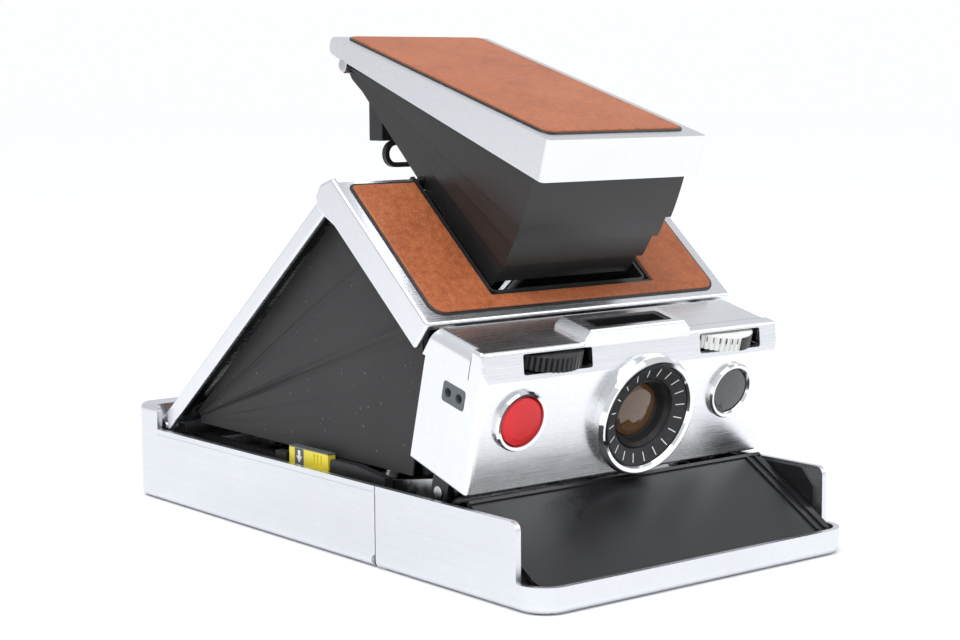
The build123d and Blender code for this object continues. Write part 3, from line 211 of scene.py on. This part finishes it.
def glass(name, color, roughness, transmission, coat=0.5, ior=1.5):
    """Glass or clear plastic with a faint smear."""
    clear = {"Transmission_Weight": transmission, "Coat_Weight": coat, "IOR": ior}
    made, tree, shader = start(name, color, roughness, 0.0, **clear)
    smear = noise(tree, place(tree), 260.0, 3.0, 0.5)
    tree.links.new(spread(tree, smear, roughness * 0.6, roughness * 1.6 + 0.01), shader.inputs["Roughness"])
    toned = ramp(tree, smear, [(0.2, tuple(c * 0.9 for c in color)), (0.8, color)])
    tree.links.new(toned, shader.inputs["Base Color"])
    return made


def rubber(name, color, light):
    """Matt coated cloth of the bellows: fine weave under a rubber skin, with specks of dust scattered over
    it.
    """
    made, tree, shader = start(name, color, 0.62, 0.0, Specular_IOR_Level=0.32)
    where = place(tree)
    weave = noise(tree, where, 2200.0, 2.0, 0.5)
    cloud = noise(tree, where, 26.0, 4.0, 0.6)
    specks = noise(tree, where, 900.0, 2.0, 0.5)
    tone = ramp(tree, cloud, [(0.34, color), (0.7, light)])
    dusty = blend_colors(tree, ramp(tree, specks, [(0.72, 0.0), (0.76, 0.5)]), tone, (0.3, 0.3, 0.3))
    tree.links.new(dusty, shader.inputs["Base Color"])
    tree.links.new(spread(tree, cloud, 0.5, 0.68), shader.inputs["Roughness"])
    soft = bump(tree, shader, cloud, 0.12, 0.001)
    bump(tree, shader, weave, 0.2, 0.00006, soft)
    return made


SILVER = (0.86, 0.87, 0.89)
SHADED = (0.77, 0.78, 0.8)
METAL_X = brushed("brushed_across", SILVER, SHADED, 0.25, 0, depth=0.1)
METAL_Y = brushed("brushed_along", (0.76, 0.77, 0.8), (0.7, 0.71, 0.74), 0.3, 1, depth=0.03)
METAL_COVER = brushed("brushed_cover", (0.8, 0.81, 0.83), (0.74, 0.75, 0.77), 0.24, 0, depth=0.03)
CHROME = polished("polished_chrome", (0.87, 0.875, 0.88), 0.07)
STEEL = polished("machined_steel", (0.6, 0.6, 0.6), 0.24)
BRASS = polished("turned_brass", (0.75, 0.56, 0.25), 0.26)
BLACK = moulded("moulded_black", (0.012, 0.012, 0.013), 0.4)
HOOD = moulded("hood_black", (0.016, 0.0155, 0.0155), 0.36, 1500.0, 0.12, 0.45, 0.05)
SATIN_BLACK = moulded("satin_black", (0.008, 0.008, 0.009), 0.3, 1600.0, 0.08, 0.5, 0.03)
GREY = moulded("moulded_grey", (0.09, 0.1, 0.105), 0.45)
WHITE = moulded("moulded_white", (0.78, 0.78, 0.74), 0.4, 700.0, 0.1)
YELLOW = moulded("moulded_yellow", (0.83, 0.62, 0.045), 0.38, 1100.0, 0.14, 0.45, 0.04)
RED = moulded("red_button", (0.6, 0.012, 0.016), 0.34, 1300.0, 0.1, 0.45, 0.0)
LEATHER = hide("tan_leather", (0.34, 0.085, 0.024), (0.44, 0.118, 0.035), (0.5, 0.155, 0.055))
BELLOWS = rubber("bellows_rubber", (0.028, 0.027, 0.028), (0.044, 0.042, 0.043))
LENS = glass("coated_lens", (0.2, 0.095, 0.035), 0.02, 0.45, 0.6, 1.55)
CLEAR = glass("clear_window", (0.9, 0.92, 0.92), 0.04, 0.92)
SMOKED = glass("smoked_window", (0.03, 0.032, 0.036), 0.08, 0.0, 0.8)
MIRROR = polished("silvered_glass", (0.9, 0.9, 0.9), 0.03)

FINISH_OF_SLOT = {
    "satin_chrome": METAL_Y, "polished_chrome": CHROME, "tan_leather": LEATHER, "black_plastic": BLACK,
    "grey_plastic": GREY, "black_rubber": BELLOWS, "red_button": RED, "white_plastic": WHITE,
    "yellow_plastic": YELLOW, "steel": STEEL, "brass": BRASS, "lens_glass": LENS, "clear_window": CLEAR,
    "smoked_window": SMOKED, "mirror_glass": MIRROR,
}
FINISH_OF_NODE = {
    "shutter_front": METAL_X, "shutter_top": METAL_X, "front_cover_shell": METAL_COVER,
    "rear_cover_shell": METAL_COVER, "cap_shell": METAL_COVER,
    "viewfinder_frame": HOOD, "apron_panel": SATIN_BLACK,
    "shade_section_1": HOOD, "shade_section_2": HOOD, "shade_section_3": HOOD, "shade_section_4": HOOD,
}
for name, node in NODES.items():
    slot_name = node.data.materials[0].name.split(".")[0]
    finish = FINISH_OF_NODE.get(name, FINISH_OF_SLOT[slot_name])
    for index in range(len(node.material_slots)):
        node.material_slots[index].link = "OBJECT"
        node.material_slots[index].material = finish

# ---------------- Shapes ----------------


def plane(at, degrees):
    """An inclined sheet through (y, z): local x is X, local y runs backwards along it, z is its normal."""
    angle = math.radians(degrees)
    c, s = math.cos(angle), math.sin(angle)
    return Matrix(((1, 0, 0, 0), (0, c, -s, at[0]), (0, s, c, at[1]), (0, 0, 0, 1)))


FRONT_SHEET = plane((-11.17, 91.68), 40.33)
REAR_SHEET = plane((78.9, 22.3), -39.07)
CAP_SHEET = plane((24.68, 128.44), 16.4)
LEAN = math.radians(14.2)
HOUSING = Matrix((
    (1, 0, 0, 0),
    (0, math.sin(LEAN) * -1, -math.cos(LEAN), -59.22),
    (0, math.cos(LEAN), -math.sin(LEAN), 21.68),
    (0, 0, 0, 1),
))


def piece(name, verts, faces, body, finish, where=None, smooth=True):
    """A mesh piece from millimetre points, placed by a matrix, riding on a body."""
    mesh = bpy.data.meshes.new(name)
    placed = [(where @ Vector(v) if where else Vector(v)) * MM for v in verts]
    mesh.from_pydata(placed, [], faces)
    shape = bmesh.new()
    shape.from_mesh(mesh)
    bmesh.ops.recalc_face_normals(shape, faces=shape.faces)
    shape.to_mesh(mesh)
    shape.free()
    mesh.materials.append(finish)
    made = bpy.data.objects.new(name, mesh)
    bpy.context.scene.collection.objects.link(made)
    for face in mesh.polygons:
        face.use_smooth = smooth
    if smooth:
        mesh.set_sharp_from_angle(angle=math.radians(38))
    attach(made, body)
    return made


def outline(corners, offset=0.0, steps=6):
    """Closed outline through (x, y, radius) corners, anticlockwise, grown by offset, its corners rounded."""
    count = len(corners)
    lines = []
    for i in range(count):
        a, b = Vector(corners[i][:2]), Vector(corners[(i + 1) % count][:2])
        along = (b - a).normalized()
        lines.append((a + Vector((along.y, -along.x)) * offset, along))
    points = []
    for i in range(count):
        (p, d), (q, e) = lines[i - 1], lines[i]
        cross = d.x * e.y - d.y * e.x
        t = ((q - p).x * e.y - (q - p).y * e.x) / cross
        corner = p + d * t
        radius = max(0.02, corners[i][2] + (offset if cross > 0 else -offset))
        half = math.acos(max(-1, min(1, d.dot(e)))) / 2
        back = radius * math.tan(half)
        first = corner - d * back
        inward = Vector((-d.y, d.x)) * (1 if cross > 0 else -1)
        centre = first + inward * radius
        begin = math.atan2(*(first - centre).yx)
        turn = 2 * half * (1 if cross > 0 else -1)
        for k in range(steps + 1):
            angle = begin + turn * k / steps
            points.append(centre + Vector((math.cos(angle), math.sin(angle))) * radius)
    return points


def stacked(name, corners, profile, body, finish, where, steps=6):
    """A closed plate whose edge follows (offset, height) steps up the outline."""
    verts, faces = [], []
    rings = [outline(corners, offset, steps) for offset, height in profile]
    size = len(rings[0])
    for ring, (offset, height) in zip(rings, profile):
        verts += [(p.x, p.y, height) for p in ring]
    for level in range(len(rings) - 1):
        for i in range(size):
            j = (i + 1) % size
            a, b = level * size, (level + 1) * size
            faces.append((a + i, a + j, b + j, b + i))
    faces.append(tuple(reversed(range(size))))
    faces.append(tuple(range((len(rings) - 1) * size, len(rings) * size)))
    return piece(name, verts, faces, body, finish, where)


def rectangle(x0, x1, y0, y1, radius):
    return [(x0, y0, radius), (x1, y0, radius), (x1, y1, radius), (x0, y1, radius)]


# ---------------- Leather panels ----------------

FRAME_CLEAR = 26.35
NOTCH_FRONT = -40.7
PANEL_SIDE = 45.5
PANEL_FRONT = -44.8
PANEL_REAR = -1.0
FRONT_PANEL = [
    (-PANEL_SIDE, PANEL_FRONT, 3.4), (PANEL_SIDE, PANEL_FRONT, 3.4), (PANEL_SIDE, PANEL_REAR, 1.2),
    (FRAME_CLEAR, PANEL_REAR, 0.5),
    (FRAME_CLEAR, NOTCH_FRONT, 0.5), (-FRAME_CLEAR, NOTCH_FRONT, 0.5), (-FRAME_CLEAR, PANEL_REAR, 0.5),
    (-PANEL_SIDE, PANEL_REAR, 1.2),
]
PANELS = [
    ("front_cover_leather", FRONT_PANEL, "front_cover", FRONT_SHEET),
    ("rear_cover_leather", rectangle(-44, 44, -101.8, -4, 3.4), "rear_cover", REAR_SHEET),
    ("cap_leather", rectangle(-22, 22, -86, -3, 2.4), "cap", CAP_SHEET),
]
SKIN_EDGE = [(-0.1, 0.0), (0.0, 0.12), (0.0, 0.38), (-0.08, 0.52), (-0.25, 0.62), (-0.6, 0.68), (-1.4, 0.7)]
# A black rim 0.68 mm wider than the leather: partly the leather's blackened edge, partly painted gap shadow
# round the panel.
BLACK_RIM_AND_GAP_SHADE_EDGE = [(0.35, 0.0), (0.62, 0.02), (0.68, 0.16), (0.6, 0.3), (0.3, 0.36), (-0.4, 0.36)]
for node_name, corners, body, where in PANELS:
    skin = stacked(node_name + "_skin", corners, SKIN_EDGE, body, LEATHER, where, 8)
    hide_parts(node_name)
    # The black rim under each panel shows the leather's blackened edge and, partly, painted gap shadow.
    stacked(node_name + "_black_rim_and_gap_shade", corners, BLACK_RIM_AND_GAP_SHADE_EDGE, body, SATIN_BLACK, where, 8)

# ---------------- Bellows ----------------

BELLOWS_SIDE = 43.2
BELLOWS_CORNER = (71.5, 22.6)
BELLOWS_EDGE = [(-31.8, 22.2), (-37.2, 50.0), (-36.0, 57.0), (-4.0, 85.6)]
PLEATS = [(6.0, 1.6, 0.12), (11.5, 0.35, 0.16), (19.5, 0.7, -0.65), (18.3, 0.6, 0.3),
          (25.5, 1.5, -0.15), (30.0, 0.6, -0.4), (29.2, 0.4, 0.15)]
CREASE_STEPS = 150
REACH_STEPS = 36
WALL_THICKNESS = 0.5
NEAREST_SHARE = 0.05
ANGLE_MARGIN = 0.01


def edge_distance(angle):
    """How far the moulded wall reaches from its rear corner in one direction."""
    dy, dz = -math.cos(angle), math.sin(angle)
    for (y0, z0), (y1, z1) in zip(BELLOWS_EDGE, BELLOWS_EDGE[1:]):
        ey, ez = y1 - y0, z1 - z0
        cross = dy * ez - dz * ey
        reach = ((y0 - BELLOWS_CORNER[0]) * ez - (z0 - BELLOWS_CORNER[1]) * ey) / cross
        share = ((y0 - BELLOWS_CORNER[0]) * dz - (z0 - BELLOWS_CORNER[1]) * dy) / cross
        if -1e-6 <= share <= 1 + 1e-6 and reach > 0:
            return reach
    return 0.0


def wall_inset(degrees, share):
    """How far the side wall lies inside its outermost plane, pleated round the rear corner."""
    inset = 0.7 + 0.1 * math.sin(degrees * 0.3 + 1.1) * share
    for at, width, depth in PLEATS:
        wander = at + 0.25 * math.sin(share * 5 + at)
        inset += depth * math.exp(-((degrees - wander) / width) ** 2) * min(1.0, share * 3.0)
    inset += 0.25 * math.exp(-((share - 0.88) / 0.04) ** 2)
    return max(0.05, inset)


def corner_angle(point):
    """Angle in degrees at which a point of the edge is seen from the rear corner."""
    return math.degrees(math.atan2(point[1] - BELLOWS_CORNER[1], BELLOWS_CORNER[0] - point[0]))


verts, faces = [], []
first_angle = corner_angle(BELLOWS_EDGE[0]) + ANGLE_MARGIN
last_angle = corner_angle(BELLOWS_EDGE[-1]) - ANGLE_MARGIN
for side, skin in ((-1, 0.0), (-1, WALL_THICKNESS), (1, 0.0), (1, WALL_THICKNESS)):
    for i in range(CREASE_STEPS + 1):
        degrees = first_angle + (last_angle - first_angle) * i / CREASE_STEPS
        angle = math.radians(degrees)
        length = edge_distance(angle)
        for j in range(REACH_STEPS + 1):
            share = NEAREST_SHARE + (1 - NEAREST_SHARE) * j / REACH_STEPS
            inset = wall_inset(degrees, share) + skin
            verts.append((
                side * (BELLOWS_SIDE - inset),
                BELLOWS_CORNER[0] - math.cos(angle) * length * share,
                BELLOWS_CORNER[1] + math.sin(angle) * length * share,
            ))
ROW = REACH_STEPS + 1
WALL_SIZE = (CREASE_STEPS + 1) * ROW
for wall in range(4):
    for i in range(CREASE_STEPS):
        for j in range(REACH_STEPS):
            a = wall * WALL_SIZE + i * ROW + j
            faces.append((a, a + 1, a + ROW + 1, a + ROW))
rim = list(range(ROW))
rim += [i * ROW + REACH_STEPS for i in range(1, CREASE_STEPS + 1)]
rim += [CREASE_STEPS * ROW + j for j in range(REACH_STEPS - 1, -1, -1)]
rim += [i * ROW for i in range(CREASE_STEPS - 1, 0, -1)]
for outer in (0, 2 * WALL_SIZE):
    for a, b in zip(rim, rim[1:] + rim[:1]):
        faces.append((outer + a, outer + b, outer + b + WALL_SIZE, outer + a + WALL_SIZE))
bellows = piece("bellows_folds", verts, faces, "base", BELLOWS)
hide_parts("bellows")
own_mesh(bellows)

# ---------------- Marks and small fittings ----------------


def bars(name, placed, body, finish):
    """One piece of several boxes, each given by its matrix and its size along x, y and z."""
    verts, faces = [], []
    for where, (dx, dy, dz) in placed:
        start_at = len(verts)
        for x in (-dx / 2, dx / 2):
            for y in (-dy / 2, dy / 2):
                for z in (-dz / 2, dz / 2):
                    verts.append(where @ Vector((x, y, z)))
        for face in ((0, 1, 3, 2), (4, 6, 7, 5), (0, 4, 5, 1), (2, 3, 7, 6), (0, 2, 6, 4), (1, 5, 7, 3)):
            faces.append(tuple(start_at + k for k in face))
    return piece(name, verts, faces, body, finish, smooth=False)


LENS_AT = (2.8, 15.6)
CONE_FOOT = (12.45, 2.9)
CONE_TOP = (9.3, 1.62)
CONE_ANGLE = math.atan2(CONE_FOOT[1] - CONE_TOP[1], CONE_FOOT[0] - CONE_TOP[0])
TICK_RADIUS = 11.0
TICK_COUNT = 20
TICK_SPACING = 360 / TICK_COUNT
TICK_HEIGHT = CONE_TOP[1] + (TICK_RADIUS - CONE_TOP[0]) * math.tan(CONE_ANGLE) + 0.02
TICK_SIZE = (2.3, 0.24, 0.06)
ticks = []
for k in range(TICK_COUNT):
    turn = math.radians(TICK_SPACING * (k + 0.5))
    where = HOUSING @ Matrix.Translation((*LENS_AT, 0)) @ Matrix.Rotation(turn, 4, "Z")
    where = where @ Matrix.Translation((TICK_RADIUS, 0, TICK_HEIGHT)) @ Matrix.Rotation(-CONE_ANGLE, 4, "Y")
    ticks.append((where, TICK_SIZE))
bars("focus_scale", ticks, "focus", WHITE)

LINER_DEPTH = -1.38
LINER_THICKNESS = 0.3
LINER_EDGE = 0.16
LINER_SIDE_DEPTH = -2.4
LINER_SIDE_HEIGHT = 1.8
for node_name, body, where, half_width, inner, y0, y1 in (
    ("rear_cover_liner", "rear_cover", REAR_SHEET, 46.73, 41.2, -104.0, -3.5),
    ("front_cover_liner", "front_cover", FRONT_SHEET, 48.0, 41.0, -45.5, -9.0),
):
    middle, width = (half_width + inner) / 2, half_width - inner
    strips = []
    for side in (-1, 1):
        flat = where @ Matrix.Translation((side * middle, (y0 + y1) / 2, LINER_DEPTH))
        strips.append((flat, (width, y1 - y0, LINER_THICKNESS)))
        edge = side * (half_width - LINER_EDGE / 2)
        upright = where @ Matrix.Translation((edge, (y0 + y1) / 2, LINER_SIDE_DEPTH))
        strips.append((upright, (LINER_EDGE, y1 - y0, LINER_SIDE_HEIGHT)))
    bars(node_name, strips, body, SATIN_BLACK)

LATCH_FACE = -46.38
STRIPE_Y = 11.2
ARROW_Z = 20.5
bars("latch_stripe", [
    (Matrix.Translation((LATCH_FACE, STRIPE_Y, 21.15)), (0.1, 4.0, 4.5)),
    (Matrix.Translation((-45.3, 7.0, 23.62)), (2.3, 17.8, 0.3)),
], "latch", GREY)
ARROW = [(-0.55, 2.4), (0.55, 2.4), (0.55, 0.9), (1.3, 0.9), (0, -0.9), (-1.3, 0.9), (-0.55, 0.9)]
arrow_verts = [(LATCH_FACE - depth, STRIPE_Y + y, ARROW_Z + z) for depth in (0.02, 0.08) for y, z in ARROW]
count = len(ARROW)
arrow_faces = [tuple(range(count)), tuple(reversed(range(count, 2 * count)))]
arrow_faces += [(i, (i + 1) % count, count + (i + 1) % count, count + i) for i in range(count)]
piece("latch_arrow", arrow_verts, arrow_faces, "latch", WHITE, smooth=False)

# The exposure wheel's dark half and its scale lines lie on the wheel's rim.
WHEEL = HOUSING @ Matrix.Translation((30.9, 31.1, -8.4))
RIM_RADIUS = 10.42
dark, scale = [], []
for k in range(24):
    where = WHEEL @ Matrix.Rotation(math.radians(4 + 3 * k), 4, "Y")
    dark.append((where @ Matrix.Translation((0, 0, RIM_RADIUS)), (0.3 if k % 2 else 0.52, 3.3, 0.16)))
for k in range(7):
    where = WHEEL @ Matrix.Rotation(math.radians(-4 - 9 * k), 4, "Y")
    scale.append((where @ Matrix.Translation((0, 0.9, RIM_RADIUS)), (0.22, 1.4, 0.14)))
bars("exposure_scale", dark + scale, "exposure_thumbwheel", SATIN_BLACK)

# ---------------- Light, floor and camera ----------------

CAMERA_AT = (-328.44, -416.76, 116.89)
RIGHT = Vector((0.7813, -0.6241, -0.0058))
UP = Vector((0.0783, 0.0887, 0.993))
camera_data = bpy.data.cameras.new("camera")
camera_data.lens = 76.03
camera_data.sensor_width = 36.0
camera_data.clip_start = 0.01
camera = bpy.data.objects.new("camera", camera_data)
bpy.context.scene.collection.objects.link(camera)
back = RIGHT.cross(UP).normalized()
up = back.cross(RIGHT).normalized()
turned = Matrix((RIGHT.normalized(), up, back)).transposed().to_4x4()
camera.matrix_world = Matrix.Translation(Vector(CAMERA_AT) * MM) @ turned
bpy.context.scene.camera = camera

world = bpy.data.worlds.new("studio")
bpy.context.scene.world = world
world.use_nodes = True
sky_tree = world.node_tree
ambient = sky_tree.nodes["Background"]
ambient.inputs["Color"].default_value = (0.94, 0.965, 1.0, 1)
ambient.inputs["Strength"].default_value = 0.78
white = sky_tree.nodes.new("ShaderNodeBackground")
white.inputs["Color"].default_value = (0.985, 0.99, 1.0, 1)
white.inputs["Strength"].default_value = 1.0
choose = sky_tree.nodes.new("ShaderNodeMixShader")
seen = sky_tree.nodes.new("ShaderNodeLightPath")
sky_tree.links.new(seen.outputs["Is Camera Ray"], choose.inputs["Fac"])
sky_tree.links.new(ambient.outputs["Background"], choose.inputs[1])
sky_tree.links.new(white.outputs["Background"], choose.inputs[2])
sky_tree.links.new(choose.outputs["Shader"], sky_tree.nodes["World Output"].inputs["Surface"])
bpy.context.scene.view_settings.view_transform = "Standard"


def softbox(name, at, towards, size, power):
    """A soft rectangular lamp facing a point."""
    data = bpy.data.lights.new(name, "AREA")
    data.shape = "RECTANGLE"
    data.size, data.size_y = size
    data.energy = power
    lamp = bpy.data.objects.new(name, data)
    bpy.context.scene.collection.objects.link(lamp)
    lamp.location = at
    lamp.rotation_euler = (Vector(towards) - Vector(at)).to_track_quat("-Z", "Y").to_euler()


softbox("key", (-0.5, -0.25, 0.95), (0, 0, 0.05), (0.7, 0.7), 3.5)
softbox("fill", (0.7, -0.6, 0.6), (0, 0, 0.05), (0.6, 0.6), 1.5)
sky_data = bpy.data.lights.new("ceiling", "SUN")
sky_data.energy = 1.15
sky_data.angle = math.radians(60)
sky = bpy.data.objects.new("ceiling", sky_data)
bpy.context.scene.collection.objects.link(sky)
sky.rotation_euler = Vector((0.25, 0.2, -1.0)).to_track_quat("-Z", "Y").to_euler()

floor_mesh = bpy.data.meshes.new("floor")
floor_shape = bmesh.new()
bmesh.ops.create_circle(floor_shape, cap_ends=True, segments=96, radius=6.0)
floor_shape.to_mesh(floor_mesh)
floor_shape.free()
paper = start("floor_paper", (0.93, 0.93, 0.935), 0.6, 0.0, Specular_IOR_Level=0.25)
floor_finish, floor_tree, floor_shader = paper
tooth = noise(floor_tree, place(floor_tree), 700.0, 3.0)
floor_tone = ramp(floor_tree, tooth, [(0.2, (0.92, 0.92, 0.93)), (0.8, (0.94, 0.94, 0.945))])
floor_tree.links.new(floor_tone, floor_shader.inputs["Base Color"])
floor_mesh.materials.append(floor_finish)
floor = bpy.data.objects.new("floor", floor_mesh)
bpy.context.scene.collection.objects.link(floor)
floor.location.z = -0.0001
